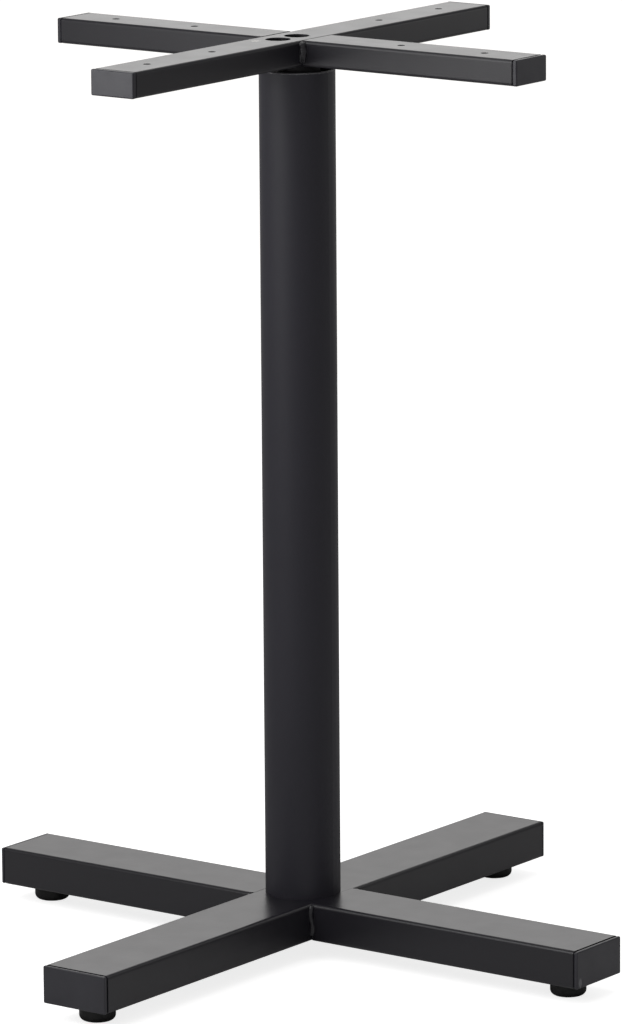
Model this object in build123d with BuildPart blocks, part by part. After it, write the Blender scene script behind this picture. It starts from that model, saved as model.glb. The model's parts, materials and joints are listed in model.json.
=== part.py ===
"""Flat-pack pedestal table base.

A cross of steel box tube on four levelling feet carries a round column, and a smaller cross on the
column's head takes the table top. Each cross is one long tube along Y with two short arms along X
butt-welded to its sides, which together reach a little less far. Millimetres, +Z up, origin on the
floor under the column.
"""

from build123d import *

import os

# Overall height, from the floor to the underside of the table top
total_height = 720.0

# Lower cross, of box tube; the spans are over the tube ends, without their caps
base_long_span = 574.4
base_arm_span = 553.4
base_width = 60.0
base_depth = 30.0
base_wall = 2.0
base_corner = 3.0

# Upper cross, of smaller box tube
top_long_span = 452.0
top_arm_span = 428.0
top_width = 40.0
top_depth = 20.0
top_wall = 1.5
top_corner = 2.5

# Least rounding inside a box tube's corners
least_bore_corner = 0.3

# Screw holes for the table top, two on every arm
screw_hole_diameter = 6.0
outer_hole_inset = 38.5
long_hole_pitch = 80.0
arm_hole_pitch = 77.0

# Column, with a plate inside each end; a boss on the upper one keeps the cross off the column's rim
column_diameter = 59.0
column_wall = 1.5
column_rim_round = 0.8
head_plate_thickness = 4.0
head_plate_recess = 8.0
head_boss_diameter = 36.0
head_gap = 5.0
foot_plate_thickness = 4.0

# Centre bolt with its nut, and the small screw beside it that stops the cross from turning
bolt_diameter = 8.0
bolt_flats = 13.0
bolt_head_height = 5.3
bolt_washer_diameter = 16.0
bolt_washer_thickness = 1.6
nut_height = 6.5
screw_diameter = 5.0
screw_flats = 8.0
screw_head_height = 3.5
screw_washer_diameter = 10.0
screw_washer_thickness = 1.0
tip_reach = 2.0
tip_chamfer = 0.6
hex_chamfer = 0.5
hole_clearance = 0.5
head_screw_edge = 4.0
foot_screw_edge = 6.0

# Holes that let a spanner reach the bolts inside the long tubes
top_access_diameter = 19.5
base_access_diameter = 18.0

# Welds in the inner corners, and the filled and ground seam on top of the lower cross
base_weld_leg = 4.0
top_weld_leg = 3.6
weld_crown = 0.5
weld_end_inset = 0.8
weld_end_round = 0.7
seam_thin_edge = 0.15

# Plastic end caps: a flange just shy of the tube's outline and off its end by a shadow groove, and a ribbed
# skirt inside the tube
base_cap_flange = 2.5
base_cap_shy = 0.35
top_cap_flange = 3.2
top_cap_shy = 0.1
cap_corner = 1.3
cap_edge_round = 1.1
cap_back_round = 0.4
cap_groove_width = 1.3
cap_groove_depth = 1.0
skirt_length = 14.0
skirt_wall = 1.5
skirt_clearance = 0.6
rib_length = 2.0
rib_count = 3
rib_taper = 10.0

# Levelling feet: a moulded glide on a threaded stud, in a rivet nut in the tube's lower wall
foot_height = 14.0
foot_from_skirt = 10.7
foot_diameter = 28.0
foot_edge_round = 4.5
foot_top_chamfer = 0.8
foot_recess_diameter = 15.0
foot_recess_depth = 0.8
foot_travel = 8.0
stud_diameter = 8.0
stud_seat = 8.0
thread_clearance = 0.05
insert_flange_diameter = 18.0
insert_flange_thickness = 1.0
insert_barrel_diameter = 12.0
insert_collar_diameter = 14.5
insert_collar_height = 3.0
insert_length = 12.0

# Levels and places worked out from the sizes above
base_bottom = foot_height
base_top = base_bottom + base_depth
base_axis = base_bottom + base_depth / 2
top_bottom = total_height - top_depth
top_axis = top_bottom + top_depth / 2
column_top = top_bottom - head_gap
column_bore = column_diameter - 2 * column_wall
head_plate_bottom = column_top - head_plate_recess - head_plate_thickness
head_boss_height = head_plate_recess + head_gap
head_screw_offset = column_bore / 2 - head_screw_edge
foot_screw_offset = column_bore / 2 - foot_screw_edge
bolt_hole = bolt_diameter + 2 * hole_clearance
screw_hole = screw_diameter + 2 * hole_clearance
foot_inset = skirt_length + foot_from_skirt
pad_top = foot_height - insert_flange_thickness
insert_top = base_bottom + insert_length

# Sections of the two box tubes: width, depth, wall and outer corner
base_section = (base_width, base_depth, base_wall, base_corner)
top_section = (top_width, top_depth, top_wall, top_corner)

# The four arms: outward direction, and how far the tube ends of both crosses reach along it
long_reach = (base_long_span / 2, top_long_span / 2)
short_reach = (base_arm_span / 2, top_arm_span / 2)
arms = {
    "right": ((1, 0), short_reach),
    "back": ((0, 1), long_reach),
    "left": ((-1, 0), short_reach),
    "front": ((0, -1), long_reach),
}

os.makedirs("parts", exist_ok=True)


def write(piece, label):
    """Names a finished piece and writes its file."""
    piece.part.label = label
    export_step(piece.part, f"parts/{label}.step")


def end_plane(direction, distance, height):
    """A plane square to an arm, facing outwards, with its own Y straight up."""
    x, y = direction
    return Plane(origin=(x * distance, y * distance, height), x_dir=(-y, x, 0), z_dir=(x, y, 0))


def side_plane(x, y):
    """An upright plane through a vertical axis at (x, y), for profiles that are revolved."""
    return Plane(origin=(x, y, 0), x_dir=(1, 0, 0), z_dir=(0, -1, 0))


def bore_section(width, depth, wall, corner):
    """Width, depth and corner of the space inside a box tube."""
    return width - 2 * wall, depth - 2 * wall, max(corner - wall, least_bore_corner)


def box_tube(start, section, length):
    """A rolled box tube drawn from its start plane: a rounded rectangle less its bore."""
    width, depth, _, corner = section
    with BuildPart() as tube:
        with BuildSketch(start):
            RectangleRounded(width, depth, corner)
            RectangleRounded(*bore_section(*section), mode=Mode.SUBTRACT)
        extrude(amount=length)
    return tube


def end_cap(face, section, flange, shy):
    """A moulded cap: a soft-edged flange on a narrower neck, and a hollow skirt whose ribs grip the bore."""
    outward = Axis(face.origin, face.z_dir)
    width, depth, _, _ = section
    bore_width, bore_depth, bore_corner = bore_section(*section)
    skirt_width = bore_width - 2 * skirt_clearance
    skirt_depth = bore_depth - 2 * skirt_clearance
    with BuildPart() as cap:
        with BuildSketch(face.offset(cap_groove_width)):
            RectangleRounded(width - 2 * shy, depth - 2 * shy, cap_corner)
        extrude(amount=flange)
        fillet(cap.edges().group_by(outward)[-1], cap_edge_round)
        fillet(cap.edges().group_by(outward)[0], cap_back_round)
        with BuildSketch(face):
            RectangleRounded(width - 2 * cap_groove_depth, depth - 2 * cap_groove_depth, cap_corner)
        extrude(amount=cap_groove_width)
        with BuildSketch(face):
            RectangleRounded(skirt_width, skirt_depth, bore_corner)
        extrude(amount=-skirt_length)
        for rib in range(rib_count):
            with BuildSketch(face.offset(-skirt_length * (rib + 0.5) / rib_count)):
                RectangleRounded(bore_width, bore_depth, bore_corner)
            extrude(amount=-rib_length, taper=rib_taper)
        with BuildSketch(face.offset(-skirt_length)):
            Rectangle(skirt_width - 2 * skirt_wall, skirt_depth - 2 * skirt_wall)
        extrude(amount=skirt_length, mode=Mode.SUBTRACT)
    return cap


def corner_welds(half_width, bottom, top, leg):
    """Four upright fillet welds in the inner corners of a cross, each with a crowned face."""
    corner = (half_width, half_width)
    toe_x = (half_width + leg, half_width)
    toe_y = (half_width, half_width + leg)
    middle = half_width + leg / 2 + weld_crown / 2**0.5
    with BuildPart() as welds:
        with BuildSketch(Plane.XY.offset(bottom + weld_end_inset)):
            with BuildSketch(mode=Mode.PRIVATE) as section:
                with BuildLine():
                    Polyline(toe_x, corner, toe_y)
                    ThreePointArc(toe_y, (middle, middle), toe_x)
                make_face()
            with PolarLocations(0, len(arms)):
                add(section.sketch)
        extrude(amount=top - bottom - 2 * weld_end_inset)
        fillet(welds.edges().filter_by(GeomType.CIRCLE), weld_end_round)
    return welds


def cut_round(level, depth, diameter, places):
    """Cuts round holes upwards from a level in the part being built."""
    with BuildSketch(Plane.XY.offset(level)) as holes:
        with Locations(*places):
            Circle(diameter / 2)
    extrude(holes.sketch, amount=depth, mode=Mode.SUBTRACT)


def column_plate(bottom, thickness, screw_offset, boss_height):
    """A round plate inside an end of the column, threaded for bolt and screw, with a boss if it has one."""
    with BuildPart() as plate:
        with BuildSketch(Plane.XY.offset(bottom)):
            Circle(column_bore / 2)
        extrude(amount=thickness)
        if boss_height > 0:
            with BuildSketch(Plane.XY.offset(bottom + thickness)):
                Circle(head_boss_diameter / 2)
            extrude(amount=boss_height)
        cut_round(bottom, thickness + boss_height, bolt_diameter, [(0, 0)])
        cut_round(bottom, thickness, screw_diameter, [(0, -screw_offset)])
    return plate


def hex_bolt(seat, tip, diameter, flats, head_height):
    """A hexagon bolt: its head stands on the seat plane, facing its way, and its shank ends beyond it."""
    headward = Axis(seat.origin, seat.z_dir)
    with BuildPart() as bolt:
        with BuildSketch(seat):
            RegularPolygon(flats / 2, 6, major_radius=False)
        extrude(amount=head_height)
        chamfer(bolt.edges().group_by(headward)[-1], hex_chamfer)
        with BuildSketch(seat):
            Circle(diameter / 2)
        extrude(amount=-tip)
        chamfer(bolt.edges().group_by(headward)[0], tip_chamfer)
    return bolt


def washer_on(wall_face, outer, inner, thickness):
    """A flat round washer lying on a wall's face."""
    with BuildPart() as washer:
        with BuildSketch(wall_face):
            Circle(outer / 2)
            Circle(inner / 2, mode=Mode.SUBTRACT)
        extrude(amount=thickness)
    return washer


def nut_under(plate_face):
    """The nut welded to the far face of a column plate."""
    with BuildPart() as nut:
        with BuildSketch(plate_face):
            RegularPolygon(bolt_flats / 2, 6, major_radius=False)
            Circle(bolt_diameter / 2, mode=Mode.SUBTRACT)
        extrude(amount=-nut_height)
    return nut


def bolted_joint(end, wall_level, plate_level, heads, screw_offset):
    """Bolt, screw, washers and nut that hold a cross to the column; heads is the way their heads face."""
    grip = abs(wall_level - plate_level)
    bolt_wall = Plane(origin=(0, 0, wall_level), z_dir=(0, 0, heads))
    screw_wall = Plane(origin=(0, -screw_offset, wall_level), z_dir=(0, 0, heads))
    bolt_tip = bolt_washer_thickness + grip + nut_height + tip_reach
    screw_tip = screw_washer_thickness + grip + tip_reach
    bolt_seat = bolt_wall.offset(bolt_washer_thickness)
    screw_seat = screw_wall.offset(screw_washer_thickness)
    bolt_washer = washer_on(bolt_wall, bolt_washer_diameter, bolt_hole, bolt_washer_thickness)
    screw_washer = washer_on(screw_wall, screw_washer_diameter, screw_hole, screw_washer_thickness)
    write(bolt_washer, f"{end}_bolt_washer")
    write(screw_washer, f"{end}_screw_washer")
    write(hex_bolt(bolt_seat, bolt_tip, bolt_diameter, bolt_flats, bolt_head_height), f"{end}_bolt")
    write(hex_bolt(screw_seat, screw_tip, screw_diameter, screw_flats, screw_head_height), f"{end}_screw")
    write(nut_under(bolt_wall.offset(-grip)), f"{end}_nut")


def along(direction, *distances):
    """Plan places at some distances along an arm."""
    x, y = direction
    return [(x * distance, y * distance) for distance in distances]


def foot_place(name):
    """Plan place of the foot under an arm of the lower cross."""
    direction, (base_reach, _) = arms[name]
    return along(direction, base_reach - foot_inset)[0]


def screw_places(name, pitch):
    """Plan places of the two screw holes on an arm of the upper cross."""
    direction, (_, top_reach) = arms[name]
    outer = top_reach - outer_hole_inset
    return along(direction, outer - pitch, outer)


# Lower cross: the long tube, with rivet-nut holes and spanner holes below and bolt holes above
with BuildPart() as base_long_tube:
    add(box_tube(end_plane((0, 1), -base_long_span / 2, base_axis), base_section, base_long_span))
    foot_places = [foot_place("back"), foot_place("front")]
    cut_round(base_bottom, base_wall, insert_barrel_diameter, foot_places)
    cut_round(base_bottom, base_wall, base_access_diameter, [(0, 0), (0, -foot_screw_offset)])
    cut_round(base_top - base_wall, base_wall, bolt_hole, [(0, 0)])
    cut_round(base_top - base_wall, base_wall, screw_hole, [(0, -foot_screw_offset)])
write(base_long_tube, "base_long_tube")

# Lower cross: the two short arms
for name in ("right", "left"):
    direction, (base_reach, _) = arms[name]
    with BuildPart() as base_arm:
        arm_start = end_plane(direction, base_width / 2, base_axis)
        add(box_tube(arm_start, base_section, base_reach - base_width / 2))
        cut_round(base_bottom, base_wall, insert_barrel_diameter, [foot_place(name)])
    write(base_arm, f"base_arm_{name}")

write(corner_welds(base_width / 2, base_bottom, base_top, base_weld_leg), "base_corner_welds")

# Lower cross: filler over the long tube's rounded edges, ground flush, so that its top has no seam
with BuildPart() as base_seam_fill:
    round_x = base_width / 2 - base_corner
    round_z = base_top - base_corner
    diagonal = base_corner / 2**0.5
    thin_x = round_x + (2 * base_corner * seam_thin_edge - seam_thin_edge**2) ** 0.5
    fill_start = (thin_x, base_top - seam_thin_edge)
    fill_end = (base_width / 2, round_z)
    with BuildSketch(Plane.XZ):
        with BuildLine():
            ThreePointArc(fill_start, (round_x + diagonal, round_z + diagonal), fill_end)
            Polyline(fill_end, (base_width / 2, base_top), (thin_x, base_top), fill_start)
        make_face()
    extrude(amount=base_width / 2 - base_corner, both=True)
    mirror(about=Plane.YZ)
write(base_seam_fill, "base_seam_fill")

# Column: a round tube, its upper rim softened, with a plate at each end
with BuildPart() as column_tube:
    with BuildSketch(Plane.XY.offset(base_top)):
        Circle(column_diameter / 2)
        Circle(column_bore / 2, mode=Mode.SUBTRACT)
    extrude(amount=column_top - base_top)
    upper_rims = column_tube.edges().group_by(Axis.Z)[-1]
    fillet(upper_rims.sort_by(SortBy.RADIUS)[-1], column_rim_round)
write(column_tube, "column_tube")
head_plate = column_plate(head_plate_bottom, head_plate_thickness, head_screw_offset, head_boss_height)
write(head_plate, "column_head_plate")
foot_plate = column_plate(base_top, foot_plate_thickness, foot_screw_offset, 0)
write(foot_plate, "column_foot_plate")

# Fasteners: those at the head are reached from above, and those at the foot from below
bolted_joint("head", top_bottom + top_wall, head_plate_bottom, 1, head_screw_offset)
bolted_joint("foot", base_top - base_wall, base_top + foot_plate_thickness, -1, foot_screw_offset)

# Upper cross: the long tube, with its screw holes, spanner holes above and bolt holes below
with BuildPart() as top_long_tube:
    add(box_tube(end_plane((0, 1), -top_long_span / 2, top_axis), top_section, top_long_span))
    hole_places = screw_places("back", long_hole_pitch) + screw_places("front", long_hole_pitch)
    cut_round(top_bottom, top_depth, screw_hole_diameter, hole_places)
    cut_round(total_height - top_wall, top_wall, top_access_diameter, [(0, 0), (0, -head_screw_offset)])
    cut_round(top_bottom, top_wall, bolt_hole, [(0, 0)])
    cut_round(top_bottom, top_wall, screw_hole, [(0, -head_screw_offset)])
write(top_long_tube, "top_long_tube")

# Upper cross: the two short arms
for name in ("right", "left"):
    direction, (_, top_reach) = arms[name]
    with BuildPart() as top_arm:
        arm_start = end_plane(direction, top_width / 2, top_axis)
        add(box_tube(arm_start, top_section, top_reach - top_width / 2))
        cut_round(top_bottom, top_depth, screw_hole_diameter, screw_places(name, arm_hole_pitch))
    write(top_arm, f"top_arm_{name}")

write(corner_welds(top_width / 2, top_bottom, total_height, top_weld_leg), "top_corner_welds")

# End caps of both crosses
for name, (direction, (base_reach, top_reach)) in arms.items():
    base_end = end_plane(direction, base_reach, base_axis)
    write(end_cap(base_end, base_section, base_cap_flange, base_cap_shy), f"base_cap_{name}")
    top_end = end_plane(direction, top_reach, top_axis)
    write(end_cap(top_end, top_section, top_cap_flange, top_cap_shy), f"top_cap_{name}")

# Levelling feet
for name in arms:
    foot_x, foot_y = foot_place(name)
    foot_axis = Axis((foot_x, foot_y, 0), (0, 0, 1))
    stud_radius = stud_diameter / 2
    stud_bottom = pad_top - stud_seat

    # Glide: a turned profile with a blind seat for the stud above and a shallow recess below
    with BuildPart() as foot_pad:
        with BuildSketch(side_plane(foot_x, foot_y)):
            with BuildLine():
                Polyline(
                    (0, foot_recess_depth),
                    (foot_recess_diameter / 2, foot_recess_depth),
                    (foot_recess_diameter / 2, 0),
                    (foot_diameter / 2, 0),
                    (foot_diameter / 2, pad_top - foot_top_chamfer),
                    (foot_diameter / 2 - foot_top_chamfer, pad_top),
                    (stud_radius, pad_top),
                    (stud_radius, stud_bottom),
                    (0, stud_bottom),
                    close=True,
                )
            make_face()
        revolve(axis=foot_axis)
        rim = foot_pad.edges().filter_by(GeomType.CIRCLE).group_by(Axis.Z)[0].sort_by(SortBy.RADIUS)[-1]
        fillet(rim, foot_edge_round)
    write(foot_pad, f"foot_pad_{name}")

    # Stud: still inside the rivet nut's whole length when the foot is screwed right out
    with BuildPart() as foot_stud:
        with BuildSketch(Plane((foot_x, foot_y, stud_bottom))):
            Circle(stud_radius)
        extrude(amount=insert_top + foot_travel - stud_bottom)
        chamfer(foot_stud.edges().group_by(Axis.Z)[-1], tip_chamfer)
    write(foot_stud, f"foot_stud_{name}")

    # Rivet nut: a flange under the wall, a collar pressed out above it and a threaded barrel
    with BuildPart() as foot_insert:
        thread_radius = stud_radius + thread_clearance
        collar_bottom = base_bottom + base_wall
        collar_top = collar_bottom + insert_collar_height
        with BuildSketch(side_plane(foot_x, foot_y)):
            with BuildLine():
                Polyline(
                    (thread_radius, pad_top),
                    (insert_flange_diameter / 2, pad_top),
                    (insert_flange_diameter / 2, base_bottom),
                    (insert_barrel_diameter / 2, base_bottom),
                    (insert_barrel_diameter / 2, collar_bottom),
                    (insert_collar_diameter / 2, collar_bottom),
                    (insert_barrel_diameter / 2, collar_top),
                    (insert_barrel_diameter / 2, insert_top),
                    (thread_radius, insert_top),
                    close=True,
                )
            make_face()
        revolve(axis=foot_axis)
    write(foot_insert, f"foot_insert_{name}")
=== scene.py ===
# %% [markdown]
# # A black pedestal table base
# The object is a flat-pack table base: a cross of box tube on four screw-in feet, a round column, and a
# smaller cross with screw holes that carries the table top. The solids come from the CAD model. This lesson
# adds what CAD leaves out: rippled weld beads, the threads of the feet, the collar of a cap that is driven
# home, and the finishes.

import json
from math import pi, radians

import bpy
import numpy as np
from mathutils import Matrix, Vector


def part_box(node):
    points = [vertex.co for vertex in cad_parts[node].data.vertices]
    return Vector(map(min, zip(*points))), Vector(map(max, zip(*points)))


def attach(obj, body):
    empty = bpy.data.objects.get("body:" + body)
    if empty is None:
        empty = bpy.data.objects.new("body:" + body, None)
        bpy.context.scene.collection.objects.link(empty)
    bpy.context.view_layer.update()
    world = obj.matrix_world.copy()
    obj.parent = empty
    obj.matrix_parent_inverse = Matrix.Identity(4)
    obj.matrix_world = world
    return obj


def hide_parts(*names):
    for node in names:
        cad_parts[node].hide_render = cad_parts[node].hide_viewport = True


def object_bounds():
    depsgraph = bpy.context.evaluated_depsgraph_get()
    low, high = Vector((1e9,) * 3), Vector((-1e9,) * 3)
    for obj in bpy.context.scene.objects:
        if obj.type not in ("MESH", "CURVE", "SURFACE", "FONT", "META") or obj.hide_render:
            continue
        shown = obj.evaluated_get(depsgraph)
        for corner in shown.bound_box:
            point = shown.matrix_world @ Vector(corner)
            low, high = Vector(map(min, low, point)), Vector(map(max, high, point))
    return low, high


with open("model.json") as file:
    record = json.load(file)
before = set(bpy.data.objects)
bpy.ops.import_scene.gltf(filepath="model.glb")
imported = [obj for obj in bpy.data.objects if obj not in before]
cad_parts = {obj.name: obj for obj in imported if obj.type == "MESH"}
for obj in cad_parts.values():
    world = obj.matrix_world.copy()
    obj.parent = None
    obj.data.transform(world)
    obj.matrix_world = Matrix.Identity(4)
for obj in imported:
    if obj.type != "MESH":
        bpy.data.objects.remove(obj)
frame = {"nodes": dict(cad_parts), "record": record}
nodes = frame["nodes"]
cad_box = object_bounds()
arm_names = ("right", "back", "left", "front")
print("CAD nodes:", len(nodes), "size in metres:", [round(v, 4) for v in cad_box[1] - cad_box[0]])

# %% [markdown]
# ## A skin from rows of points
# Weld beads, threaded rods and the collar of a cap are all bodies with a closed section that is carried
# along a line. One helper covers them: it takes a grid of points whose rows are those sections, joins
# neighbouring rows with quads and closes both ends. Working on whole arrays keeps it fast and easy to read.


# %% Helpers that skin closed sections
def skin_faces(rows, columns):
    """Quads between row i and i+1, column j and j+1, where the last column meets the first, and two end
    faces. Point j of row i has the number i times the columns plus j."""
    i, j = np.meshgrid(np.arange(rows - 1), np.arange(columns), indexing="ij")
    beside = (j + 1) % columns
    row = i * columns
    above = row + columns
    sides = np.stack([row + j, row + beside, above + beside, above + j], axis=-1)
    first = list(range(columns))[::-1]
    last = list(range((rows - 1) * columns, rows * columns))
    return sides.reshape(-1, 4).tolist() + [first, last]


def skinned_piece(name, skins, body, replaced):
    """One mesh from several grids of rows x columns x 3. It rides on a CAD body, in place of a node or
    beside it."""
    points = []
    faces = []
    for grid in skins:
        start = sum(len(p) for p in points)
        faces += [[index + start for index in face] for face in skin_faces(*grid.shape[:2])]
        points.append(grid.reshape(-1, 3))
    mesh = bpy.data.meshes.new(name)
    mesh.from_pydata(np.concatenate(points).tolist(), [], faces)
    mesh.shade_smooth()
    mesh.update()
    piece = bpy.data.objects.new(name, mesh)
    bpy.context.scene.collection.objects.link(piece)
    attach(piece, body)
    if replaced:
        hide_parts(replaced)
    print(name, len(mesh.vertices), "points")
    return piece


print("faces over 3 rows of 4 points:", len(skin_faces(3, 4)))

# %% [markdown]
# ## Weld beads in the inner corners
# Where two tubes meet, the welder runs an upright bead into the corner. It sways from wall to wall, cools in
# small overlapping waves that the coat half fills, and splits where the arc was let go. A sculpted mesh
# would do, but a formula gives all eight beads at once: a curved section between two walls, changed along
# its height.

# %% Form of a weld bead
bead_rows = 90
bead_columns = 21
bead_sink = 0.0004
wander_waves = ((0.06, 9.0, 1.0), (0.03, 23.0, 2.1))
lean_rate = 7.0
lean_drift = 1.7
ripple_length = 0.0022
ripple_bow = 0.35
ripple_share = 0.2
fork_height = 0.4
fork_width = 0.16
end_power = 10
end_leg = 0.25


def weld_bead(half_width, low, high, leg, crown, fork, sway, turn, seed):
    """A bead in one corner. Its section runs from toe to toe as a straight line plus a parabola of the crown
    height, and closes behind the corner. The leg grows and shrinks with slow sines, and leans towards one
    wall and then the other. A faint ripple, whose waves bow upwards in the middle, modulates the crown, and
    a bell-shaped groove splits its lower part. Both ends shrink like a quarter ellipse."""
    height = np.linspace(0.0, 1.0, bead_rows)[:, None]
    across = np.linspace(0.0, 1.0, bead_columns)[None, :]
    arch = 4.0 * across * (1.0 - across)
    z = low + (high - low) * height
    wander = sum(share * np.sin(rate * height + drift * seed) for share, rate, drift in wander_waves)
    lean = -sway * np.sin(lean_rate * height + lean_drift * seed)
    phase = 2.0 * pi * (z / ripple_length - ripple_bow * arch) + seed
    ripple = 1.0 - ripple_share + ripple_share * np.abs(np.sin(0.5 * phase))
    bell = np.exp(-(((across - 0.5) / fork_width) ** 2))
    groove = fork * np.clip(1.0 - height / fork_height, 0.0, 1.0) * bell
    ends = np.sqrt(np.clip(1.0 - np.abs(2.0 * height - 1.0) ** end_power, 0.0, 1.0))
    reach = leg * (1.0 + wander) * (end_leg + (1.0 - end_leg) * ends)
    bulge = crown * (arch * ripple - groove) * ends
    toe_x = reach * (1.0 + lean) * (1.0 - across) + bulge / 2**0.5
    toe_y = reach * (1.0 - lean) * across + bulge / 2**0.5
    front = np.stack([half_width + toe_x, half_width + toe_y, z + 0.0 * across], axis=-1)
    behind = np.array([[-bead_sink, leg / 2], [-bead_sink, -bead_sink], [leg / 2, -bead_sink]])
    back = np.empty((bead_rows, 3, 3))
    back[:, :, :2] = half_width + behind
    back[:, :, 2] = z
    section = np.concatenate([front, back], axis=1)
    quarter = np.array([[0.0, 1.0], [-1.0, 0.0]])
    section[:, :, :2] = section[:, :, :2] @ np.linalg.matrix_power(quarter, turn)
    return section


# %% Weld beads of both crosses
bare_share = 0.12
seed_step = 2.0
base_bead = {"leg": 0.0028, "crown": 0.0009, "fork": 0.3, "sway": 0.22}
top_bead = {"leg": 0.0042, "crown": 0.0013, "fork": 1.8, "sway": 0.10}


def bead_set(name, node, tube, form, seed):
    """Four beads, one in each inner corner of a cross. The tube's box gives their place and the node's box
    their height, less a share at the lower end that stays bare."""
    half_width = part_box(tube)[1].x
    low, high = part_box(node)[0].z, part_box(node)[1].z
    low += bare_share * (high - low)
    beads = []
    for turn in range(4):
        beads.append(weld_bead(half_width, low, high, **form, turn=turn, seed=seed + seed_step * turn))
    return skinned_piece(name, beads, "frame", node)


base_beads = bead_set("base_weld_beads", "base_corner_welds", "base_long_tube", base_bead, 1.3)
top_beads = bead_set("top_weld_beads", "top_corner_welds", "top_long_tube", top_bead, 3.7)

# %% [markdown]
# ## Threads of the levelling feet
# Each foot turns on a metric threaded rod that shows when the foot is screwed out. A thread is a helix, so
# the radius at any point depends only on how far that point is along the helix: one grid of angle and height
# is enough, and a triangle wave of that distance cuts the flanks.

# %% Threaded rods
thread_pitch = 0.00125
thread_depth = 0.00065
thread_around = 40
thread_steps = 10
flank_slope = 1.25
root_flat = 0.12
rod_chamfer = 0.0006


def threaded_rod(low, high):
    """A rod between two corners of a box. At angle a and height z the turn is z / pitch - a / (2 pi). Its
    triangle wave, clipped to leave flat crests and roots, is taken off the outer radius, and the tip is
    chamfered."""
    radius = (high.x - low.x) / 2
    rows = int((high.z - low.z) / thread_pitch * thread_steps)
    angle = np.linspace(0.0, 2.0 * pi, thread_around, endpoint=False)[None, :]
    z = np.linspace(low.z, high.z, rows)[:, None]
    turn = (z / thread_pitch - angle / (2.0 * pi)) % 1.0
    flank = np.clip(flank_slope * np.abs(2.0 * turn - 1.0) - root_flat, 0.0, 1.0)
    tip = np.clip(rod_chamfer - (high.z - z), 0.0, rod_chamfer)
    r = np.minimum(radius - thread_depth * (1.0 - flank), radius - tip)
    middle = (low + high) / 2
    return np.stack([middle.x + r * np.cos(angle), middle.y + r * np.sin(angle), z + 0.0 * angle], axis=-1)


rods = []
for name in arm_names:
    stud = f"foot_stud_{name}"
    rod = threaded_rod(*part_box(stud))
    rods.append(skinned_piece(f"stud_thread_{name}", [rod], f"foot_{name}", stud))

# %% [markdown]
# ## A cap that is driven home
# Three of the upper caps stand off their tubes by a dark groove. The front one was struck harder, and its
# flange sits tight. A collar that fills its groove does that and leaves the cap itself alone. Its section is
# a circle with its quarters pushed apart, which is a rounded rectangle.

# %% Collar of the front cap
collar_points = 48
collar_corner = 0.0024
collar_shy = 0.0002
collar_seam = 0.00006
groove_width = 0.0013


def cap_collar(low, high):
    """A rounded rectangle just inside the outline of the tube whose box has these corners, drawn out over
    the groove from the cap's flange to the tube's front end."""
    angle = 2.0 * pi * (np.arange(collar_points) + 0.5) / collar_points
    half_x = (high.x - low.x) / 2 - collar_shy - collar_corner
    half_z = (high.z - low.z) / 2 - collar_shy - collar_corner
    x = np.sign(np.sin(angle)) * half_x + collar_corner * np.sin(angle)
    z = (low.z + high.z) / 2 + np.sign(np.cos(angle)) * half_z + collar_corner * np.cos(angle)
    y = np.array([low.y - groove_width, low.y - collar_seam])[:, None]
    return np.stack([x + 0.0 * y, y + 0.0 * x, z + 0.0 * y], axis=-1)


collar_skin = cap_collar(*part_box("top_long_tube"))
collar = skinned_piece("front_cap_collar", [collar_skin], "frame", None)

# %% [markdown]
# ## Finishes
# Every finish here is a plain gloss or matt surface whose character lies in small irregularities. Two
# helpers add them to a Principled shader: one varies a number or a colour between two values with a soft
# noise, and the other presses a fine noise into the surface as bump. Both read Object coordinates, in
# metres, so a grain has its real size on every piece.

# %% Helpers for procedural finishes
drift_low = 0.3
drift_high = 0.7
drift_detail = 3.0


def noise_at(material, scale, detail):
    """Adds a noise texture on Object coordinates; the scale is the number of cells in a metre."""
    tree = material.node_tree
    place = tree.nodes.get("Texture Coordinate") or tree.nodes.new("ShaderNodeTexCoord")
    noise = tree.nodes.new("ShaderNodeTexNoise")
    noise.inputs["Scale"].default_value = scale
    noise.inputs["Detail"].default_value = detail
    tree.links.new(place.outputs["Object"], noise.inputs["Vector"])
    return noise


def vary(material, socket, scale, low, high):
    """Lets a shader input drift between two numbers or two colours over the surface."""
    tree = material.node_tree
    ramp = tree.nodes.new("ShaderNodeValToRGB")
    shades = [value if isinstance(value, tuple) else (value, value, value) for value in (low, high)]
    ramp.color_ramp.elements[0].position = drift_low
    ramp.color_ramp.elements[1].position = drift_high
    ramp.color_ramp.elements[0].color = (*shades[0], 1.0)
    ramp.color_ramp.elements[1].color = (*shades[1], 1.0)
    noise = noise_at(material, scale, drift_detail)
    tree.links.new(noise.outputs["Fac"], ramp.inputs["Fac"])
    tree.links.new(ramp.outputs["Color"], tree.nodes["Principled BSDF"].inputs[socket])


def press(material, layers):
    """Presses noises into the surface one after another; each layer is cells per metre, detail and depth."""
    tree = material.node_tree
    below = None
    for scale, detail, depth in layers:
        bump = tree.nodes.new("ShaderNodeBump")
        bump.inputs["Strength"].default_value = 1.0
        bump.inputs["Distance"].default_value = depth
        tree.links.new(noise_at(material, scale, detail).outputs["Fac"], bump.inputs["Height"])
        if below:
            tree.links.new(below.outputs["Normal"], bump.inputs["Normal"])
        below = bump
    tree.links.new(below.outputs["Normal"], tree.nodes["Principled BSDF"].inputs["Normal"])


def finish(name, metallic, specular):
    """A new material with a Principled shader and its constant values."""
    material = bpy.data.materials.new(name)
    material.use_nodes = True
    shader = material.node_tree.nodes["Principled BSDF"]
    shader.inputs["Metallic"].default_value = metallic
    shader.inputs["Specular IOR Level"].default_value = specular
    print("finish:", name)
    return material


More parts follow.
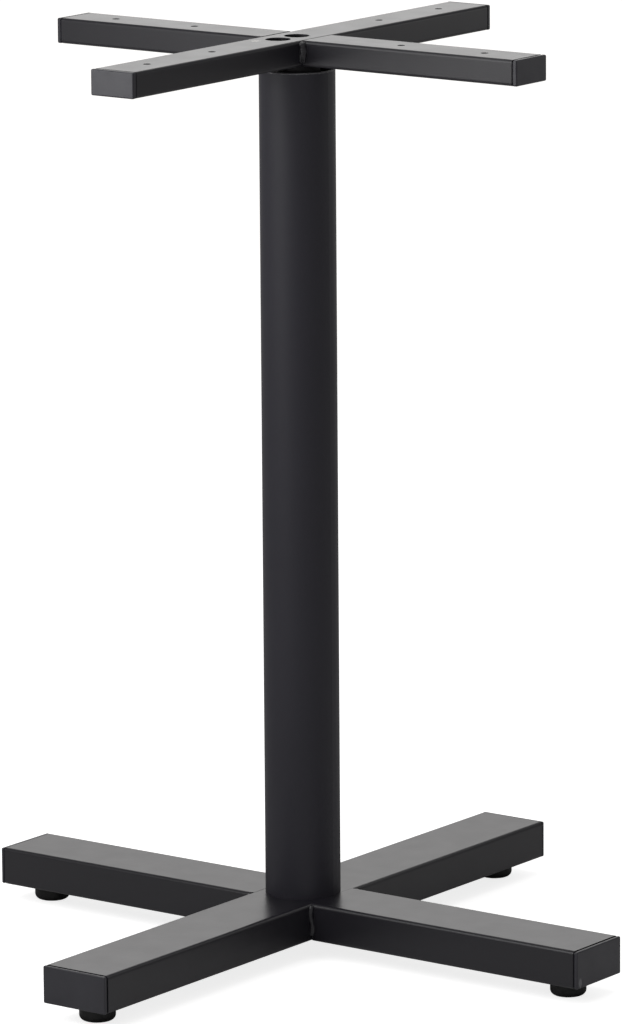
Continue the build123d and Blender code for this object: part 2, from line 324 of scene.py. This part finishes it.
# %% [markdown]
# ### Satin black powder coat
# Powder is sprayed on dry and melted in an oven, so it never flows quite flat: a fine orange peel stays in
# the gloss, with a slower waviness under it. Two layers of bump give that. On level faces the melt settles
# and cures smoother than on upright ones, so the roughness follows the surface normal, with a little drift.
# The column was coated in another batch: it is duller and a little bluer. The plate in its head only got a
# flat primer.

# %% Powder coat
orange_peel = [(90.0, 2.0, 0.00003), (700.0, 2.0, 0.00002)]
shade_cells = 9.0
level_rough = 0.31
rough_cells = 45.0
rough_detail = 4.0
rough_drift = 0.07
settle_from = 0.4
settle_to = 0.95


def black_coat(name, dark, pale, upright_rough):
    """Satin black powder coat between two shades. Its roughness goes from the upright value to the level one
    as the normal turns up."""
    coat = finish(name, 0.0, 0.5)
    vary(coat, "Base Color", shade_cells, dark, pale)
    press(coat, orange_peel)
    tree = coat.node_tree
    normal = tree.nodes.new("ShaderNodeSeparateXYZ")
    tree.links.new(tree.nodes["Texture Coordinate"].outputs["Normal"], normal.inputs["Vector"])
    settle = tree.nodes.new("ShaderNodeMapRange")
    settle.inputs["From Min"].default_value = settle_from
    settle.inputs["From Max"].default_value = settle_to
    settle.inputs["To Min"].default_value = upright_rough - rough_drift / 2
    settle.inputs["To Max"].default_value = level_rough - rough_drift / 2
    tree.links.new(normal.outputs["Z"], settle.inputs["Value"])
    drift = tree.nodes.new("ShaderNodeMath")
    drift.operation = "MULTIPLY_ADD"
    drift.inputs[1].default_value = rough_drift
    tree.links.new(noise_at(coat, rough_cells, rough_detail).outputs["Fac"], drift.inputs[0])
    tree.links.new(settle.outputs["Result"], drift.inputs[2])
    tree.links.new(drift.outputs["Value"], tree.nodes["Principled BSDF"].inputs["Roughness"])
    return coat


tube_coat = black_coat("satin_black_powder_coat", (0.0090, 0.0083, 0.0120), (0.0115, 0.0107, 0.0148), 0.38)
column_coat = black_coat("dull_black_powder_coat", (0.0086, 0.0077, 0.0148), (0.0110, 0.0100, 0.0178), 0.56)

primer = finish("flat_black_primer", 0.0, 0.2)
vary(primer, "Base Color", 60.0, (0.034, 0.033, 0.036), (0.046, 0.045, 0.048))
vary(primer, "Roughness", 80.0, 0.65, 0.80)
press(primer, [(900.0, 3.0, 0.00003)])

# %% [markdown]
# ### Moulded plastics
# The end caps come from a spark-eroded mould, which leaves an even fine grain. The feet are a softer
# plastic, duller and more scuffed, because they slide on floors.

# %% Plastics
cap_plastic = finish("grained_cap_plastic", 0.0, 0.5)
vary(cap_plastic, "Base Color", 40.0, (0.0185, 0.0180, 0.0245), (0.0255, 0.0250, 0.0330))
vary(cap_plastic, "Roughness", 60.0, 0.34, 0.42)
press(cap_plastic, [(2200.0, 2.0, 0.00002)])

glide_plastic = finish("scuffed_glide_plastic", 0.0, 0.35)
vary(glide_plastic, "Base Color", 120.0, (0.009, 0.009, 0.0095), (0.016, 0.016, 0.0165))
vary(glide_plastic, "Roughness", 150.0, 0.45, 0.65)
press(glide_plastic, [(400.0, 3.0, 0.00005), (1800.0, 2.0, 0.00002)])

# %% [markdown]
# ### Plated and blackened steel
# Rods and rivet nuts are bright zinc: a metal shader, slightly cloudy, with a fine roughness pressed in. The
# bolts that hold the crosses are blackened and oiled instead, so that nothing shines in the gap over the
# column.

# %% Zinc and black oxide
zinc_plate = finish("bright_zinc_plate", 1.0, 0.5)
vary(zinc_plate, "Base Color", 300.0, (0.55, 0.56, 0.58), (0.68, 0.69, 0.71))
vary(zinc_plate, "Roughness", 500.0, 0.22, 0.42)
press(zinc_plate, [(1500.0, 3.0, 0.00001)])

black_oxide = finish("oiled_black_oxide", 0.0, 0.4)
vary(black_oxide, "Base Color", 250.0, (0.014, 0.014, 0.015), (0.030, 0.029, 0.028))
vary(black_oxide, "Roughness", 400.0, 0.38, 0.55)
press(black_oxide, [(1500.0, 3.0, 0.00001)])

# %% [markdown]
# ### Wear and painted highlights
# The piece has been handled: one lower cap is scuffed at its corner, and a tool has rubbed the upper tube
# beside a hole. The pale band on the column's cut rim is a painted highlight, and the cap's scuffed corner
# carries a painted highlight on its edge as well. Each mark is an ellipsoid in the object's own space, where
# a paler shade shows through. A noise frays its edge, and no texture has to be painted.

# %% Wear marks and painted highlights
fray_cells = 700.0
fray_detail = 2.0
unmarked_from = 1.05
fully_marked_within = 0.75


# Paints real wear marks and painted highlights alike, as pale patches in the base colour.
def wear_and_highlight(material, centre, spread, shade, ragged):
    """Mixes a paler shade into the base colour inside an ellipsoid with the given centre and half axes. A
    point counts as inside while its distance in half axes, plus noise times the raggedness, stays under a
    limit."""
    tree = material.node_tree
    colour = tree.nodes["Principled BSDF"].inputs["Base Color"]
    here = tree.nodes.new("ShaderNodeMapping")
    here.vector_type = "TEXTURE"
    here.inputs["Location"].default_value = centre
    here.inputs["Scale"].default_value = spread
    tree.links.new(tree.nodes["Texture Coordinate"].outputs["Object"], here.inputs["Vector"])
    reach = tree.nodes.new("ShaderNodeVectorMath")
    reach.operation = "LENGTH"
    tree.links.new(here.outputs["Vector"], reach.inputs[0])
    fray = tree.nodes.new("ShaderNodeMath")
    fray.operation = "MULTIPLY_ADD"
    fray.inputs[1].default_value = ragged
    tree.links.new(noise_at(material, fray_cells, fray_detail).outputs["Fac"], fray.inputs[0])
    tree.links.new(reach.outputs["Value"], fray.inputs[2])
    inside = tree.nodes.new("ShaderNodeMapRange")
    inside.inputs["From Min"].default_value = unmarked_from + ragged / 2
    inside.inputs["From Max"].default_value = fully_marked_within + ragged / 2
    tree.links.new(fray.outputs["Value"], inside.inputs["Value"])
    blend = tree.nodes.new("ShaderNodeMix")
    blend.data_type = "RGBA"
    tree.links.new(inside.outputs["Result"], blend.inputs[0])
    tree.links.new(colour.links[0].from_socket, blend.inputs[6])
    blend.inputs[7].default_value = (*shade, 1.0)
    tree.links.new(blend.outputs[2], colour)
    print("wear_and_highlight_on:", material.name)


# A painted highlight: a pale band painted along the column's cut rim.
rim_highlight = (0.0, 0.0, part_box("column_tube")[1].z)
# A real scuff on the corner of the lower right cap, with a painted highlight on its edge in the same pale
# patch.
cap_scuff_and_highlight = (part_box("base_cap_right")[1].x, -0.0253, 0.0188)
beside_hole = (-0.0085, -0.0415, cad_box[1].z)
wear_and_highlight(column_coat, rim_highlight, (0.05, 0.05, 0.0014), (0.16, 0.16, 0.17), 0.9)
wear_and_highlight(cap_plastic, cap_scuff_and_highlight, (0.002, 0.0022, 0.0042), (0.11, 0.11, 0.12), 0.9)
wear_and_highlight(tube_coat, beside_hole, (0.0034, 0.0042, 0.002), (0.30, 0.28, 0.265), 2.6)

# %% [markdown]
# ## Finishes on their pieces
# The CAD record names a slot for every node, so one loop paints the whole model, and the new pieces follow.
# The column and the plate in its head come last, because their coats differ from the tubes'.

# %% Paint the pieces
finishes = {
    "black_powder_coat": tube_coat,
    "cap_plastic": cap_plastic,
    "glide_plastic": glide_plastic,
    "zinc_plated_steel": zinc_plate,
    "blackened_steel": black_oxide,
}
painted = [(nodes[sub["node"]], finishes[sub["material_slot"]]) for sub in frame["record"]["subparts"]]
painted += [(piece, tube_coat) for piece in (base_beads, top_beads)]
painted += [(piece, zinc_plate) for piece in rods]
painted += [(nodes["column_tube"], column_coat), (nodes["column_head_plate"], primer), (collar, cap_plastic)]
for piece, material in painted:
    piece.data.materials.clear()
    piece.data.materials.append(material)
print("coats of finish laid on:", len(painted))

# %% [markdown]
# ## Paper floor
# The base stands on a sheet of white paper. Its own colour is pale, and a little glow for the camera alone
# lifts it to white while the shadow stays.

# %% Paper floor
floor_half = 2.0
paper_shade = (0.72, 0.72, 0.72, 1.0)
paper_rough = 0.9
paper_gloss = 0.1
paper_lift = 0.80

corners = [(-floor_half, -floor_half, 0.0), (floor_half, -floor_half, 0.0)]
corners += [(floor_half, floor_half, 0.0), (-floor_half, floor_half, 0.0)]
floor_mesh = bpy.data.meshes.new("paper_floor")
floor_mesh.from_pydata(corners, [], [(0, 1, 2, 3)])
floor = bpy.data.objects.new("paper_floor", floor_mesh)
bpy.context.scene.collection.objects.link(floor)

paper = bpy.data.materials.new("white_paper")
paper.use_nodes = True
tree = paper.node_tree
sheet = tree.nodes["Principled BSDF"]
sheet.inputs["Base Color"].default_value = paper_shade
sheet.inputs["Roughness"].default_value = paper_rough
sheet.inputs["Specular IOR Level"].default_value = paper_gloss
sheet.inputs["Emission Color"].default_value = (1.0, 1.0, 1.0, 1.0)
rays = tree.nodes.new("ShaderNodeLightPath")
glow = tree.nodes.new("ShaderNodeMath")
glow.operation = "MULTIPLY"
glow.inputs[1].default_value = paper_lift
tree.links.new(rays.outputs["Is Camera Ray"], glow.inputs[0])
tree.links.new(glow.outputs["Value"], sheet.inputs["Emission Strength"])
floor_mesh.materials.append(paper)
print("floor side in metres:", 2 * floor_half)

# %% [markdown]
# ## Room
# The room is bright behind the object and dim on the camera's side, which is what draws the edges of a black
# thing. A ramp over the direction, from the camera's side at 0 to the far side at 1, sets what glossy and
# clear surfaces mirror. Matt ones get a single dim value, and the camera itself sees white.

# %% Room
away_from_camera = Vector((-0.595, 0.804, 0.0))
room_dim = 0.30
room_turn = ((0.0, 0.45), (0.5, 0.24), (0.84, 0.26), (0.97, 0.75))
room_tint = (1.0, 0.985, 0.97, 1.0)
room_lift = 0.8

world = bpy.data.worlds.new("studio")
bpy.context.scene.world = world
world.use_nodes = True
tree = world.node_tree
sky = tree.nodes["Background"]
place = tree.nodes.new("ShaderNodeTexCoord")
facing = tree.nodes.new("ShaderNodeVectorMath")
facing.operation = "DOT_PRODUCT"
facing.inputs[1].default_value = away_from_camera
tree.links.new(place.outputs["Generated"], facing.inputs[0])
around = tree.nodes.new("ShaderNodeMapRange")
around.inputs["From Min"].default_value = -1.0
tree.links.new(facing.outputs["Value"], around.inputs["Value"])
backdrop = tree.nodes.new("ShaderNodeValToRGB")
stops = backdrop.color_ramp.elements
while len(stops) < len(room_turn):
    stops.new(0.5)
for stop, (position, strength) in zip(stops, room_turn):
    stop.position = position
    stop.color = (strength, strength, strength, 1.0)
tree.links.new(around.outputs["Result"], backdrop.inputs["Fac"])
print("backdrop stops:", [(round(stop.position, 2), round(stop.color[0], 2)) for stop in stops])

# %% What each kind of ray sees of the room
rays = tree.nodes.new("ShaderNodeLightPath")
shiny = tree.nodes.new("ShaderNodeMath")
shiny.operation = "MAXIMUM"
tree.links.new(rays.outputs["Is Glossy Ray"], shiny.inputs[0])
tree.links.new(rays.outputs["Is Transmission Ray"], shiny.inputs[1])
seen = tree.nodes.new("ShaderNodeMix")
seen.inputs["A"].default_value = room_dim
tree.links.new(shiny.outputs["Value"], seen.inputs["Factor"])
tree.links.new(backdrop.outputs["Color"], seen.inputs["B"])
white = tree.nodes.new("ShaderNodeMath")
white.operation = "MULTIPLY_ADD"
white.inputs[1].default_value = room_lift
tree.links.new(rays.outputs["Is Camera Ray"], white.inputs[0])
tree.links.new(seen.outputs["Result"], white.inputs[2])
tree.links.new(white.outputs["Value"], sky.inputs["Strength"])
sky.inputs["Color"].default_value = room_tint
print("strength of the room for the camera:", room_dim + room_lift)

# %% [markdown]
# ## Lamps
# Black shows little but reflections, so each lamp is placed where one set of faces mirrors it: a tall key
# near the front for the left faces, a small card for the right ones, a wide lamp behind for the upper faces,
# and weak ones on the left and overhead to fill.


# %% Lamps
def soft_box(name, place, aim, width, height, glow):
    """A rectangular lamp that faces a point; its power gives the wanted brightness of its face."""
    lamp = bpy.data.lights.new(name, "AREA")
    lamp.shape = "RECTANGLE"
    lamp.size = width
    lamp.size_y = height
    lamp.energy = glow * pi * width * height
    holder = bpy.data.objects.new(name, lamp)
    bpy.context.scene.collection.objects.link(holder)
    holder.location = place
    holder.rotation_euler = (Vector(aim) - Vector(place)).to_track_quat("-Z", "Y").to_euler()
    holder.visible_camera = False
    print(name, round(lamp.energy, 1), "W")


soft_box("key_lamp", (-0.27, -0.99, 1.21), (0.33, -0.19, 1.21), 0.8, 1.38, 3.2)
soft_box("left_lamp", (-1.90, -0.70, 1.00), (0.0, 0.0, 0.60), 1.4, 1.6, 0.35)
soft_box("right_card", (0.50, 0.87, 0.74), (0.0, 0.0, 0.74), 0.70, 0.26, 0.75)
soft_box("back_lamp", (-1.55, 2.09, 1.30), (0.0, 0.0, 0.65), 1.8, 1.2, 0.75)
soft_box("overhead_lamp", (0.0, 0.0, 2.60), (0.0, 0.0, 0.0), 2.0, 2.0, 1.0)

# %% [markdown]
# ## Camera
# A long lens far away, turned to look between two arms of the cross and tilted down a little. The numbers
# come from fitting the straight edges of the tubes.

# %% Camera
camera_place = Vector((3.1689, -4.2740, 1.4439))
camera_turn = radians(36.461)
camera_tilt = radians(11.645)
camera_roll = radians(-0.409)
camera_reach = 60.0
image_height = 1024.0
focal_pixels = 6993.6
sensor = 36.0

camera_data = bpy.data.cameras.new("camera")
camera_data.sensor_width = sensor
camera_data.lens = focal_pixels * sensor / image_height
camera_data.clip_end = camera_reach
camera = bpy.data.objects.new("camera", camera_data)
bpy.context.scene.collection.objects.link(camera)
turn = Matrix.Rotation(camera_turn, 4, "Z")
tilt = Matrix.Rotation(pi / 2 - camera_tilt, 4, "X")
roll = Matrix.Rotation(camera_roll, 4, "Z")
camera.matrix_world = Matrix.Translation(camera_place) @ turn @ tilt @ roll
bpy.context.scene.camera = camera
bpy.context.scene.view_settings.view_transform = "Standard"
print("lens in millimetres:", round(camera_data.lens, 1))
